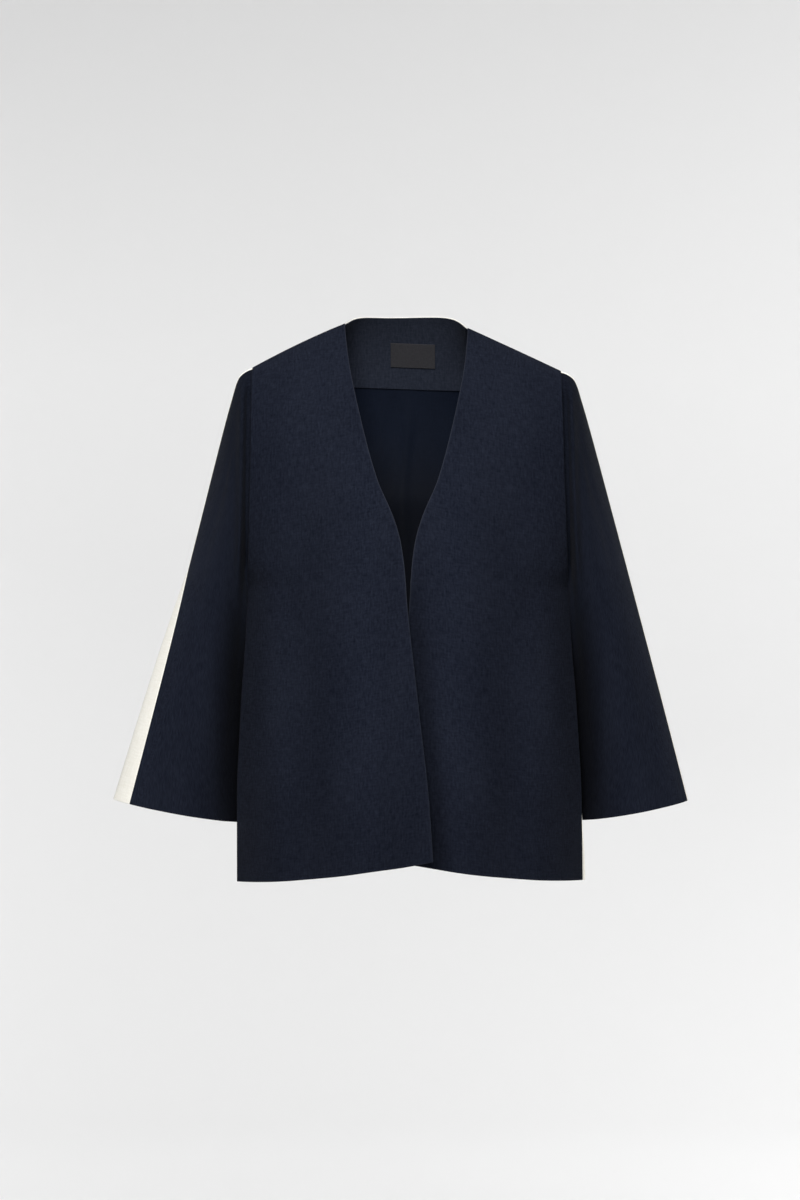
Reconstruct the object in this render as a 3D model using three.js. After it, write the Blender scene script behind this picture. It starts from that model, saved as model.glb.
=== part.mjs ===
// A collarless open-front denim jacket, filled out as if worn, with nobody in it: navy fronts and
// sleeve fronts, an ecru back and sleeve backs, a faced and lined back neck and wide short sleeves.
// Millimetres. +Z is up and the front faces -Y, so the wearer's right is -X. The origin lies midway
// between the two points where the shoulder seams meet the neck, which is where the jacket is carried.
import * as THREE from "three";

// Cloth walls and the gaps between sewn pieces
const frontWall = 1.9;
const backWall = 1.6;
const sleeveWall = 1.6;
const facingWall = 1.2;
const liningWall = 1.0;
const labelWall = 1.0;
const seamGap = 0.3;

// Sizes of the cut
const neckHalf = 74; // half the width of the neck, at the shoulder seams
const neckDepth = 49; // how far the back neck lies behind the shoulder seams
const neckRise = 14; // how far the back neck stands above them
const neckRoundness = 0.8; // how fast the back neck curves back from the shoulder seams
const neckFlatness = 7; // how level its middle part stays
const neckShare = 0.42; // the part of the back's top edge that the neck takes, from the centre
const shoulderTip = 185; // half the width between the armhole seams, at the shoulder
const shoulderTipZ = -52.6;
const shoulderBow = 1.2; // the rise of the shoulder seam over a straight line
const shoulderY = 3; // depth of the shoulder seam beside the neck, and 0 at the tip
const underarmZ = -318;
const sideHemZ = -662.6;
const frontCornerZ = -633; // the hem at the front edge, which hangs higher than at the side
const backHemZ = -652;
const hemBow = 3.7;
const bustZ = -235; // above it the front slopes back to the shoulder seam
const bladeZ = -200; // above it the back slopes forward to the shoulder and the neck

// How it hangs: it leans a little, and one shoulder is a little lower
const leanAtTop = -2;
const leanPerHeight = 4 / 660;
const shoulderTilt = 3.3; // at its most, half way along the shoulder
const tiltReach = 240;
const tiltEnd = 0.85; // past this share of that reach the drop stays the same
const tiltFadeZ = -300;

// Horizontal sections of the body. half is the half width, front and back are the depths at the
// centre, and frontSide and backSide those at the side seam and, above the underarm, the armhole.
// frontCore and backCore are the depths that each panel's long curve runs out to, before it turns to
// its seam.
const bodySections = [
  { z: -663, half: 206.4, front: -118, frontCore: -44, frontSide: -22, backSide: -22, backCore: 42, back: 112 },
  { z: -560, half: 205.8, front: -119, frontCore: -44, frontSide: -22, backSide: -22, backCore: 43, back: 114 },
  { z: -495, half: 202.6, front: -119, frontCore: -45, frontSide: -23, backSide: -23, backCore: 44, back: 115 },
  { z: -447, half: 199.9, front: -119, frontCore: -46, frontSide: -24, backSide: -24, backCore: 45, back: 115 },
  { z: -388, half: 195.2, front: -118, frontCore: -48, frontSide: -25, backSide: -25, backCore: 47, back: 114 },
  { z: -318, half: 191.4, front: -117, frontCore: -51, frontSide: -26, backSide: -26, backCore: 50, back: 113 },
  { z: -290, half: 189.9, front: -116, frontCore: -53, frontSide: -43, backSide: 14, backCore: 52, back: 112 },
  { z: -260, half: 188.6, front: -114.5, frontCore: -55, frontSide: -54, backSide: 42, backCore: 54, back: 111 },
  { z: -235, half: 187.6, front: -113, frontCore: -58, frontSide: -59, backSide: 53, backCore: 56, back: 109.5 },
  { z: -200, half: 186.6, front: -113, frontCore: -61, frontSide: -61, backSide: 60, backCore: 59, back: 107 },
  { z: -150, half: 185.6, front: -113, frontCore: -61, frontSide: -61, backSide: 60, backCore: 60, back: 107 },
  { z: -52, half: 185, front: -113, frontCore: -61, frontSide: -61, backSide: 60, backCore: 60, back: 107 },
];
const frontFullness = 2.6; // how flat a section stays before it turns to the side
const backFullness = 2.7;
const turnToSeam = 6; // how close to the seam a panel turns to it
const frontRidge = { neck: 0.93, tip: 0.66 }; // how softly the panels leave the shoulder seam: lower is
const backRidge = { neck: 0.54, tip: 0.62 }; // rounder
const archPower = 6; // how close to the shoulder seam the rows take up its bow

// The front edge, from the hem corner up: reach is its distance from the centre line on its own
// side, and is negative where the front laps past the centre.
const frontEdge = [
  { z: -633, reach: -27.3 },
  { z: -561, reach: -22.7 },
  { z: -468, reach: -12.8 },
  { z: -375, reach: -2.8 },
  { z: -337, reach: 1 },
  { z: -293, reach: 4 },
  { z: -262, reach: 8.3 },
  { z: -235, reach: 16 },
  { z: -188, reach: 35.6 },
  { z: -117, reach: 54.6 },
  { z: -43, reach: 69.3 },
  { z: 0, reach: 74 },
];
const lapStartZ = -285; // below it the fronts part in depth, so that one lies over the other
const lapCrossZ = -345;
const lapCross = 3; // each front's shift where the edges cross
const lapOverAtHem = 12;
const lapUnderAtHem = 6;
const lapFade = 70;

// Soft drape folds of the body, below the bust and the shoulder blades. at is the distance from the
// centre, out is how far the fold stands out at the hem, and width is its spread.
const frontFolds = [
  { at: 30, out: -1.5, width: 15 },
  { at: 71, out: 4, width: 22 },
  { at: 117, out: -3, width: 20 },
  { at: 152, out: 1.5, width: 14 },
];
const backFolds = [
  { at: -128, out: 3, width: 18 },
  { at: -84, out: -3, width: 18 },
  { at: -38, out: 4.5, width: 22 },
  { at: 14, out: -3.5, width: 20 },
  { at: 62, out: 5, width: 22 },
  { at: 108, out: -3, width: 17 },
  { at: 144, out: 2.5, width: 15 },
];
const foldTopZ = -190;

// Sleeves, ring by ring from the armhole to the cuff. overX, overY and overZ are the outer edge.
// tuck is the inner edge's distance outside the body's half width, with underY and underZ.
// frontBulge and backBulge are the depths of the two halves at the ring's fullest point.
const sleeveRings = [
  { t: 0, overX: 185.4, overY: 0, overZ: -52.9, tuck: 0.4, underY: -26, underZ: -318 },
  { t: 0.015, overX: 192, overY: 0.5, overZ: -56, tuck: 1.8, underY: -23, underZ: -322 },
  { t: 0.03, overX: 198, overY: 1, overZ: -60, tuck: 2.4, underY: -19, underZ: -327 },
  { t: 0.042, overX: 202, overY: 1.3, overZ: -65, tuck: 2.1, underY: -15, underZ: -331 },
  { t: 0.085, overX: 209, overY: 2, overZ: -88, tuck: 1.2, underY: -7, underZ: -343 },
  { t: 0.22, overX: 227.8, overY: 4, overZ: -160, tuck: 0.8, underY: 1, underZ: -380 },
  { t: 0.36, overX: 246.5, overY: 6, overZ: -232, tuck: 0.7, underY: 5, underZ: -418 },
  { t: 0.5, overX: 265.8, overY: 8, overZ: -306, tuck: 0.6, underY: 8, underZ: -457 },
  { t: 0.75, overX: 300.2, overY: 10, overZ: -437, tuck: 0.2, underY: 11, underZ: -527 },
  { t: 1, overX: 335, overY: 12, overZ: -569.5, tuck: -0.6, underY: 13, underZ: -595 },
];
const sleeveBulges = [
  { t: 0, frontBulge: 52, backBulge: 58 },
  { t: 0.35, frontBulge: 55, backBulge: 52 },
  { t: 0.7, frontBulge: 52, backBulge: 45 },
  { t: 1, frontBulge: 46, backBulge: 40 },
];
const frontSwell = { outer: 0.75, inner: 0.75 }; // how round a half is towards its two edges
const backSwell = { outer: 0.75, inner: 0.9 };
const tuckBehind = 5; // how far the underarm seam lies behind the side of the body, below the armhole
const tuckShare = 0.12; // the part of the ring, next to the seam, that turns in with it
const tuckStart = 0.06;
const tuckFull = 0.2;
const armholeBlend = 0.3; // how far down the sleeve the armhole's outline lasts
const cuffDip = 2.5; // how much lower the cuff hangs between its two edges
const cuffStart = 0.7; // where down the sleeve that begins
const slant = 1.3; // how much thicker the wall is when measured along a ring
const wallEase = 6; // the wall is whole from a sixth of the way in from each edge
// The right sleeve is turned a little, so that its back half shows past the overarm seam.
const turnedOverX = 21; // how far the turned sleeve's outer edge lies past the other's, at the cuff
const turnStart = 0.48;
const turnEase = 0.8;
const seamShare = 0.006; // the overarm seam's share of the ring where it runs along the edge

// The fold in each sleeve beside its armhole seam. off is the distance from the seam.
const sleeveHeadFolds = [
  { off: 3.4, out: -7, width: 3 },
  { off: 10, out: 3.4, width: 4 },
  { off: 18, out: -2, width: 5 },
];
const headFoldTopZ = -62;
const headFoldFullZ = -92;
const headFoldFadeZ = -230;
const headFoldEndZ = -300;
const headFoldSeam = { from: 0.5, to: 2.5 }; // it starts between these distances from the seam
const headFoldEase = 8; // and is whole from an eighth of the way in from each edge
const backHeadFold = 0.6; // how much of it the back half has

// Inside the back: a facing down from the neck, a lining below it, and a blank label
const facingGap = 0.6; // to the back, where the neck edge is turned in
const facingEndZ = -71;
const facingEdgeDrop = 24;
const facingDropFrom = 0.5; // where across the back its lower edge starts to drop
const facingDrop = 0.5; // the part of a row by which it stops short of the shoulder seams
const liningHemRow = 0.4; // the part of a row by which the lining stops short of the hem
const liningTopRow = 0.04; // and of the facing
const insideMargin = 1; // the columns that both leave free at each side
const labelGap = 0.9;
const labelWidth = 55;
const labelHeight = 29;
const labelX = 8;
const labelTopZ = -15.5;

// Mesh density
const lowerRows = 9;
const middleRows = 9;
const topRows = 8;
const upperEase = 1.6;
const facingShare = 0.3; // the share of the height from underarm to shoulder that the top rows take
const frontColumns = 13;
const backColumns = 24;
const sleeveColumns = 11;
const sleeveSteps = [
  0, 0.012, 0.024, 0.036, 0.05, 0.07, 0.1, 0.14, 0.19, 0.25, 0.32, 0.4, 0.48, 0.56, 0.64, 0.72, 0.8, 0.88, 0.945, 1,
];
const wrapColumns = 2;
const labelColumns = 6;
const labelRows = 3;

// Colours of the cloths
const navy = new THREE.MeshStandardMaterial({ color: 0x1f2430, roughness: 0.92, metalness: 0 });
const ecru = new THREE.MeshStandardMaterial({ color: 0xefebe0, roughness: 0.92, metalness: 0 });
const darkLining = new THREE.MeshStandardMaterial({ color: 0x141b29, roughness: 0.75, metalness: 0 });
const labelCloth = new THREE.MeshStandardMaterial({ color: 0x343335, roughness: 0.85, metalness: 0 });

const { lerp, clamp, smoothstep } = THREE.MathUtils;
const ramp = (value, from, to) => clamp((value - from) / (to - from), 0, 1);
const spread = (count, from, to) => Array.from({ length: count + 1 }, (_, i) => lerp(from, to, i / count));
const bell = (distance, width) => Math.exp(-0.5 * (distance / width) ** 2);

// Smooth interpolation of every column of a table along its key column, with no overshoot
function curveOf(rows, key) {
  const knots = rows.map((row) => row[key]);
  const columns = {};
  for (const name of Object.keys(rows[0])) {
    const values = rows.map((row) => row[name]);
    const steps = values.slice(1).map((value, i) => (value - values[i]) / (knots[i + 1] - knots[i]));
    const slopes = values.map((_, i) => {
      const before = steps[Math.max(i - 1, 0)];
      const after = steps[Math.min(i, steps.length - 1)];
      return before * after > 0 ? (2 * before * after) / (before + after) : 0;
    });
    columns[name] = { values, slopes };
  }
  return (at) => {
    const place = clamp(at, knots[0], knots[knots.length - 1]);
    const above = knots.findIndex((knot) => knot > place);
    const low = above < 0 ? knots.length - 2 : above - 1;
    const span = knots[low + 1] - knots[low];
    const s = (place - knots[low]) / span;
    const point = {};
    for (const [name, { values, slopes }] of Object.entries(columns)) {
      point[name] =
        (1 + 2 * s) * (1 - s) ** 2 * values[low] +
        s * (1 - s) ** 2 * span * slopes[low] +
        s * s * (3 - 2 * s) * values[low + 1] +
        s * s * (s - 1) * span * slopes[low + 1];
    }
    return point;
  };
}

const sectionAt = curveOf(bodySections, "z");
const edgeAt = curveOf(frontEdge, "z");
const ringAt = curveOf(sleeveRings, "t");
const bulgeAt = curveOf(sleeveBulges, "t");

// The whole garment's lean and the lower shoulder, put on last
function hang(point) {
  const reach = clamp(point.x, -tiltEnd * tiltReach, tiltEnd * tiltReach);
  const tilt = shoulderTilt * Math.sin((Math.PI * reach) / tiltReach) * smoothstep(point.z, tiltFadeZ, 0);
  return new THREE.Vector3(point.x + leanAtTop - leanPerHeight * point.z, point.y, point.z - tilt);
}

// A closed wall between an outer and an inner grid of points, with its edges closed
function wallOf(name, outer, inner, material, mirrored = false) {
  const rows = outer.length;
  const columns = outer[0].length;
  const points = [...outer.flat(), ...inner.flat()].map(hang);
  const index = [];
  const outside = (i, j) => i * columns + j;
  const inside = (i, j) => rows * columns + i * columns + j;
  const quad = (a, b, c, d) => index.push(...(mirrored ? [a, b, c, a, c, d] : [a, c, b, a, d, c]));
  for (let i = 0; i < rows - 1; i++) {
    for (let j = 0; j < columns - 1; j++) {
      quad(outside(i, j), outside(i, j + 1), outside(i + 1, j + 1), outside(i + 1, j));
      quad(inside(i, j), inside(i + 1, j), inside(i + 1, j + 1), inside(i, j + 1));
    }
    quad(outside(i, 0), outside(i + 1, 0), inside(i + 1, 0), inside(i, 0));
    quad(outside(i + 1, columns - 1), outside(i, columns - 1), inside(i, columns - 1), inside(i + 1, columns - 1));
  }
  for (let j = 0; j < columns - 1; j++) {
    quad(outside(0, j + 1), outside(0, j), inside(0, j), inside(0, j + 1));
    quad(outside(rows - 1, j), outside(rows - 1, j + 1), inside(rows - 1, j + 1), inside(rows - 1, j));
  }
  const geometry = new THREE.BufferGeometry();
  geometry.setFromPoints(points);
  geometry.setIndex(index);
  geometry.computeVertexNormals();
  const mesh = new THREE.Mesh(geometry, material);
  mesh.name = name;
  return mesh;
}

// The outward normals of a grid of points. outward gives their sign.
function normalsOf(grid, outward) {
  const last = grid.length - 1;
  const end = grid[0].length - 1;
  return grid.map((row, i) =>
    row.map((_, j) => {
      const up = grid[Math.min(i + 1, last)][j].clone().sub(grid[Math.max(i - 1, 0)][j]);
      const across = grid[i][Math.min(j + 1, end)].clone().sub(grid[i][Math.max(j - 1, 0)]);
      return across.cross(up).multiplyScalar(outward).normalize();
    }),
  );
}

// The same grid moved along its normals
function moved(grid, normals, distance) {
  return grid.map((row, i) => row.map((point, j) => point.clone().addScaledVector(normals[i][j], distance)));
}

// Height of the shoulder seam at a distance from the centre, level across the neck
function shoulderZ(reach) {
  const share = ramp(reach, neckHalf, shoulderTip);
  return share * shoulderTipZ + shoulderBow * 4 * share * (1 - share);
}

// How far a slope has left its ridge, for the share of its height that it has dropped
const leaving = (share, sharpness) => (1 - (1 - share) ** 2) ** sharpness;

// Depth of a section between the centre and the side
function across(centre, core, side, share, fullness) {
  const out = Math.min(Math.abs(share), 1);
  return core + (centre - core) * (1 - out ** fullness) + (side - core) * out ** turnToSeam;
}

// Depth of a front at a distance from the centre, before the lap
function frontDepth(reach, z) {
  const low = sectionAt(Math.min(z, bustZ));
  const fold = frontFolds.reduce((sum, { at, out, width }) => sum + out * bell(reach - at, width), 0);
  const hanging = smoothstep(foldTopZ - z, 0, foldTopZ - sideHemZ);
  const depth = across(low.front, low.frontCore, low.frontSide, reach / low.half, frontFullness) - fold * hanging;
  if (z <= bustZ) return depth;
  const top = shoulderZ(reach);
  const sharpness = lerp(frontRidge.neck, frontRidge.tip, ramp(reach, neckHalf, shoulderTip));
  const ridge = shoulderY * (1 - ramp(reach, neckHalf, shoulderTip));
  return ridge + (depth - ridge) * leaving(ramp(z, top, bustZ), sharpness);
}

// The shift in depth that lays one front over the other near the centre
function lapShift(reach, z, atHem) {
  const deep = z > lapCrossZ ? lapCross * smoothstep(-z, -lapStartZ, -lapCrossZ) : 0;
  const deeper = lerp(lapCross, atHem, ramp(z, lapCrossZ, frontCornerZ));
  return (z > lapCrossZ ? deep : deeper) * (1 - smoothstep(reach, 0, lapFade));
}

// Heights of the rows, the same for the fronts and the back: from the hem to the underarm, on to the
// edge of the neck facing, and on to the shoulder
function rowsUp() {
  const hemRows = spread(lowerRows, 0, 1).slice(0, -1);
  const upperEnd = 1 - facingShare;
  const middle = spread(middleRows, 0, upperEnd);
  const top = spread(topRows, 0, 1).slice(1);
  const rows = hemRows.map((lower) => ({ lower, upper: 0, neck: 0 }));
  rows.push(...middle.map((upper) => ({ lower: 1, upper, neck: 0 })));
  const eased = top.map((step) => 1 - (1 - step) ** upperEase);
  rows.push(...eased.map((neck) => ({ lower: 1, upper: lerp(upperEnd, 1, neck), neck })));
  return rows;
}

// One front panel: side is -1 for the wearer's right, which laps over the left
function front(name, side) {
  const over = side < 0;
  const grid = rowsUp().map(({ lower, upper }) => {
    const edgeZ = lerp(lerp(frontCornerZ, underarmZ, lower), 0, upper);
    const sideZ = lerp(lerp(sideHemZ, underarmZ, lower), shoulderTipZ, upper);
    const edge = edgeAt(edgeZ).reach;
    const half = sectionAt(sideZ).half;
    return Array.from({ length: frontColumns + 1 }, (_, j) => {
      const share = j / frontColumns;
      const reach = lerp(edge, half, share);
      const bow = hemBow * 4 * share * (1 - share) * (1 - lower) ** 2;
      const straight = lerp(edgeZ, sideZ, share);
      const z = upper === 1 ? shoulderZ(reach) : straight - bow + shoulderArch(share, reach, upper);
      const lap = over ? -lapShift(reach, z, lapOverAtHem) : lapShift(reach, z, lapUnderAtHem);
      const seam = upper === 1 || (share === 1 && upper === 0) ? -seamGap / 2 : 0;
      return new THREE.Vector3(side * reach, frontDepth(reach, z) + lap + seam, z);
    });
  });
  const normals = normalsOf(grid, side);
  const last = grid.length - 1;
  grid.forEach((row, i) =>
    row.forEach((_, j) => {
      if (i === last) normals[i][j].setY(0);
      if (j === frontColumns) {
        if (i <= lowerRows) normals[i][j].setY(0);
        else normals[i][j].setX(0);
      }
      normals[i][j].normalize();
    }),
  );
  return wallOf(name, grid, moved(grid, normals, -frontWall), navy, side > 0);
}

// Rows near the shoulder take up its bow little by little
function shoulderArch(share, reach, upper) {
  return (shoulderZ(reach) - lerp(0, shoulderTipZ, share)) * upper ** archPower;
}

// The top edge of the back: the neck inside neckShare, and the shoulder seam outside it.
// place runs from -1 to 1 across the back.
function backTop(place) {
  const reach = Math.abs(place);
  if (reach <= neckShare) {
    const angle = (Math.PI / 2) * (reach / neckShare);
    const x = neckHalf * Math.sin(angle);
    const y = shoulderY + neckDepth * Math.max(Math.cos(angle), 0) ** neckRoundness;
    return new THREE.Vector3(Math.sign(place) * x, y, neckRise * (1 - (x / neckHalf) ** neckFlatness));
  }
  const x = lerp(neckHalf, shoulderTip, ramp(reach, neckShare, 1));
  return new THREE.Vector3(Math.sign(place) * x, shoulderY * (1 - ramp(x, neckHalf, shoulderTip)), shoulderZ(x));
}

// A point of the back's outer face at a place across it and a height
function backPoint(place, z) {
  const top = backTop(place);
  const low = sectionAt(Math.min(z, bladeZ));
  const half = sectionAt(z).half;
  const fold = backFolds.reduce((sum, { at, out, width }) => sum + out * bell(place * half - at, width), 0);
  const hanging = smoothstep(foldTopZ - z, 0, foldTopZ - sideHemZ);
  const depth = across(low.back, low.backCore, low.backSide, place, backFullness) + fold * hanging;
  if (z <= bladeZ) return new THREE.Vector3(place * half, depth, z);
  // The slope starts from a ridge over the shoulder seams. Behind the neck the neck edge is a cut
  // through that slope, so there the ridge is worked back from the edge.
  const ease = lerp(backRidge.neck, backRidge.tip, ramp(Math.abs(place), neckShare, 1));
  const cutAt = clamp((top.y - shoulderY) / (depth - shoulderY), 0, 1);
  const cutShare = Math.abs(place) < neckShare ? 1 - Math.sqrt(1 - cutAt ** (1 / ease)) : 0;
  const ridgeZ = (top.z - cutShare * bladeZ) / (1 - cutShare);
  const baseY = Math.min(top.y, shoulderY);
  const dropped = ramp(z, top.z, bladeZ);
  const x = half * lerp(top.x / shoulderTip, place, dropped);
  return new THREE.Vector3(x, baseY + (depth - baseY) * leaving(ramp(z, ridgeZ, bladeZ), ease), z);
}

const hemAcross = (place) => lerp(backHemZ, sideHemZ, place ** 2);

// The facing's lower edge is level behind the neck and drops towards the armholes
const facingEdge = (place) => facingEndZ - facingEdgeDrop * smoothstep(Math.abs(place), facingDropFrom, 1);

function backGrid() {
  return rowsUp().map(({ lower, upper, neck }) =>
    spread(backColumns, -1, 1).map((place) => {
      const top = backTop(place).z;
      const below = lerp(hemAcross(place), underarmZ, lower);
      const middle = lerp(below, facingEdge(place), upper / (1 - facingShare));
      const point = backPoint(place, neck > 0 ? lerp(facingEdge(place), top, neck) : middle);
      const onShoulder = upper === 1 && Math.abs(place) > neckShare;
      if (onShoulder || (Math.abs(place) === 1 && upper === 0)) point.y += seamGap / 2;
      return point;
    }),
  );
}

// The back's normals, turned along each seam so that both walls of the seam stay parallel
function backNormals(grid) {
  const normals = normalsOf(grid, -1);
  const last = grid.length - 1;
  grid.forEach((row, i) =>
    row.forEach((_, j) => {
      const place = lerp(-1, 1, j / backColumns);
      if (i === last && Math.abs(place) > neckShare) normals[i][j].setY(0);
      if (j === 0 || j === backColumns) {
        if (i <= lowerRows) normals[i][j].setY(0);
        else normals[i][j].setX(0);
      }
      normals[i][j].normalize();
    }),
  );
  return normals;
}

const backOuter = backGrid();
const backFacing = backNormals(backOuter);
const back = () => wallOf("back", backOuter, moved(backOuter, backFacing, -backWall), ecru);

// A piece that lies inside the back, made from the back's own points moved in by a depth. rowsAt gives
// the rows of the back that it follows at each column, and fractions of a row at its edges.
function insideBack(name, columns, rowsAt, depth, wall, material) {
  const count = rowsAt(columns[0]).length;
  const faces = [depth, depth + wall].map((inset) =>
    Array.from({ length: count }, (_, i) =>
      columns.map((column) => {
        const row = rowsAt(column)[i];
        const low = Math.min(Math.floor(row), backOuter.length - 2);
        const on = (at) => backOuter[at][column].clone().addScaledVector(backFacing[at][column], -inset);
        return on(low).lerp(on(low + 1), row - low);
      }),
    ),
  );
  return wallOf(name, faces[0], faces[1], material);
}

const innerColumns = Array.from({ length: backColumns + 1 - 2 * insideMargin }, (_, i) => i + insideMargin);
const facingRow = lowerRows + middleRows;

function neckFacing() {
  const rowsAt = (column) => {
    const onShoulder = Math.abs(lerp(-1, 1, column / backColumns)) > neckShare - 0.01;
    const rows = Array.from({ length: topRows + 1 }, (_, i) => facingRow + i);
    if (onShoulder) rows[topRows] -= facingDrop;
    return rows;
  };
  return insideBack("neck_facing", innerColumns, rowsAt, backWall + facingGap, facingWall, navy);
}

function backLining() {
  const whole = Array.from({ length: facingRow - 1 }, (_, i) => i + 1);
  const rows = [liningHemRow, ...whole, facingRow - liningTopRow];
  return insideBack("back_lining", innerColumns, () => rows, backWall + seamGap, liningWall, darkLining);
}

// The place across the back that lies at a distance x from the centre, at a height
function placeAt(x, z) {
  let low = -neckShare;
  let high = neckShare;
  for (let i = 0; i < 30; i++) {
    const middle = (low + high) / 2;
    if (backPoint(middle, z).x < x) low = middle;
    else high = middle;
  }
  return (low + high) / 2;
}

function label() {
  const grid = spread(labelRows, labelTopZ - labelHeight, labelTopZ).map((z) =>
    spread(labelColumns, labelX - labelWidth / 2, labelX + labelWidth / 2).map((x) => backPoint(placeAt(x, z), z)),
  );
  const normals = normalsOf(grid, -1);
  const depth = backWall + facingGap + facingWall + labelGap;
  return wallOf("label", moved(grid, normals, -depth), moved(grid, normals, -depth - labelWall), labelCloth);
}

// Depth of the armhole's two sides, at a height
const armholeFront = (z) => frontDepth(sectionAt(z).half, z);
const armholeBack = (z) => backPoint(1, z).y;

// The shape of a sleeve half across a ring, from its outer edge to its inner edge
function swell(share, outerPower, innerPower) {
  const peak = outerPower / (outerPower + innerPower);
  const top = peak ** outerPower * (1 - peak) ** innerPower;
  return (share ** outerPower * (1 - share) ** innerPower) / top;
}

const turnedBy = (side, t) => (side < 0 ? turnedOverX * ramp(t, turnStart, 1) ** turnEase : 0);

// A point of a sleeve. t runs down the sleeve, share from the outer edge, 0, to the inner edge, 1, and
// inset is the depth inside the outer face.
function sleevePoint(side, t, share, onFront, inset) {
  const ring = ringAt(t);
  const bulges = bulgeAt(t);
  const overX = ring.overX + turnedBy(side, t);
  const underX = sectionAt(ring.underZ).half + ring.tuck;
  const length = Math.hypot(overX - underX, ring.overZ - ring.underZ);
  const inward = (slant * inset) / length;
  const along = lerp(inward, 1 - inward, share);
  const behind = tuckBehind * smoothstep(share, 1 - tuckShare, 1) * smoothstep(t, tuckStart, tuckFull);
  const sewnX = sectionAt(lerp(ring.overZ, ring.underZ, along)).half + ring.tuck;
  const x = (t === 0 ? sewnX : lerp(overX, underX, along)) - behind;
  const dip = cuffDip * 4 * share * (1 - share) * ramp(t, cuffStart, 1) ** 2;
  const z = lerp(ring.overZ, ring.underZ, along) - dip;
  const seamZ = lerp(shoulderTipZ, underarmZ, share);
  const chordY = lerp(ring.overY, ring.underY, share);
  const free = onFront
    ? chordY - bulges.frontBulge * swell(share, frontSwell.outer, frontSwell.inner)
    : chordY + bulges.backBulge * swell(share, backSwell.outer, backSwell.inner);
  const sewn = onFront ? armholeFront(seamZ) : armholeBack(seamZ);
  const released = smoothstep(t, 0, armholeBlend);
  const thin = inset * Math.min(1, wallEase * share, wallEase * (1 - share)) * (onFront ? 1 : -1);
  return new THREE.Vector3(side * x, lerp(sewn, free, released) + thin + headFold(x, z, onFront, share), z);
}

// The shift in depth of the fold beside the armhole seam
function headFold(x, z, onFront, share) {
  const off = x - sectionAt(z).half;
  const fade = smoothstep(-z, -headFoldTopZ, -headFoldFullZ) * (1 - smoothstep(-z, -headFoldFadeZ, -headFoldEndZ));
  const ends = Math.min(1, headFoldEase * share, headFoldEase * (1 - share));
  const fold = sleeveHeadFolds.reduce((sum, { off: at, out, width }) => sum + out * bell(off - at, width), 0);
  const seam = smoothstep(off, headFoldSeam.from, headFoldSeam.to);
  return (onFront ? -1 : backHeadFold) * fold * fade * ends * seam;
}

// The overarm seam's share of a ring. On the turned sleeve the seam stays where the other's edge is.
function overarmSeam(side, t) {
  const ring = ringAt(t);
  const turned = turnedBy(side, t);
  return seamShare + turned / (ring.overX + turned - sectionAt(ring.underZ).half - ring.tuck);
}

const eased = (share) => (1 - Math.cos(Math.PI * share)) / 2;

// One half of a sleeve. The back half runs on round the outer edge to the overarm seam.
function sleeveHalf(name, side, onFront) {
  const faces = [0, sleeveWall].map((inset) =>
    sleeveSteps.map((t) => {
      const ring = ringAt(t);
      const length = Math.hypot(ring.overX - sectionAt(ring.underZ).half, ring.overZ - ring.underZ);
      const gap = seamGap / 2 / length;
      const seam = overarmSeam(side, t);
      const down = spread(sleeveColumns, 0, 1);
      if (onFront) {
        return down.map((step) => {
          const share = lerp(seam + gap * 2, 1, eased(step));
          const point = sleevePoint(side, t, share, true, inset);
          if (step === 1) point.y -= seamGap / 2;
          return point;
        });
      }
      const round = spread(wrapColumns, 0, 1).slice(1);
      const body = down.map((step) => {
        const point = sleevePoint(side, t, 1 - eased(step), false, inset);
        if (step === 0) point.y += seamGap / 2;
        return point;
      });
      return [...body, ...round.map((step) => sleevePoint(side, t, step * (seam - gap), true, inset))];
    }),
  );
  return wallOf(name, faces[0], faces[1], onFront ? navy : ecru, side > 0);
}

const jacket = new THREE.Group();
jacket.add(
  front("front_right", -1),
  front("front_left", 1),
  back(),
  sleeveHalf("sleeve_front_right", -1, true),
  sleeveHalf("sleeve_back_right", -1, false),
  sleeveHalf("sleeve_front_left", 1, true),
  sleeveHalf("sleeve_back_left", 1, false),
  neckFacing(),
  backLining(),
  label(),
);

export default jacket;
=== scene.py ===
# Denim jacket, dressed over its solids: navy fronts and sleeve fronts, ecru back and sleeve backs.
# Working units are millimetres, turned into metres when a mesh is made. The front faces -Y.
import math
import bpy
import numpy as np
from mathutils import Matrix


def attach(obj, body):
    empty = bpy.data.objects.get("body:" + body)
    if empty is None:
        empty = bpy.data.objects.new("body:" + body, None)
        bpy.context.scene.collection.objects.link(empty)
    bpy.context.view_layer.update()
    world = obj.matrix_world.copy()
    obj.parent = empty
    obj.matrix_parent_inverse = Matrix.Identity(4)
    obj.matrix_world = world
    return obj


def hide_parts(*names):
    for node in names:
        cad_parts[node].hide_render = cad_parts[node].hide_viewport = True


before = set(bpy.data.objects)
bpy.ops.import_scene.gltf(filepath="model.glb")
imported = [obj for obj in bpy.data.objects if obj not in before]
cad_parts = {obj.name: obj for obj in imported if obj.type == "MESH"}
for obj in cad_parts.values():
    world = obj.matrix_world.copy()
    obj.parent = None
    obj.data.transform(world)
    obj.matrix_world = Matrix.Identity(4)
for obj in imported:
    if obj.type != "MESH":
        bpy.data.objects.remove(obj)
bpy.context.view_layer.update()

toMetres = 0.001

# Small helpers for numbers


def mix(a, b, share):
    return a + (b - a) * share


def ramp(value, start, end):
    return np.clip((value - start) / (end - start), 0, 1)


def smooth(value, start, end):
    share = ramp(value, start, end)
    return share * share * (3 - 2 * share)


def bell(distance, width):
    return np.exp(-0.5 * (distance / width) ** 2)


def arched(share):
    # 0 at both ends and 1 halfway
    return 4 * share * (1 - share)


def table(columns, rows):
    # rows of values under the names of their columns
    return [dict(zip(columns.split(), row)) for row in rows]


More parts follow.
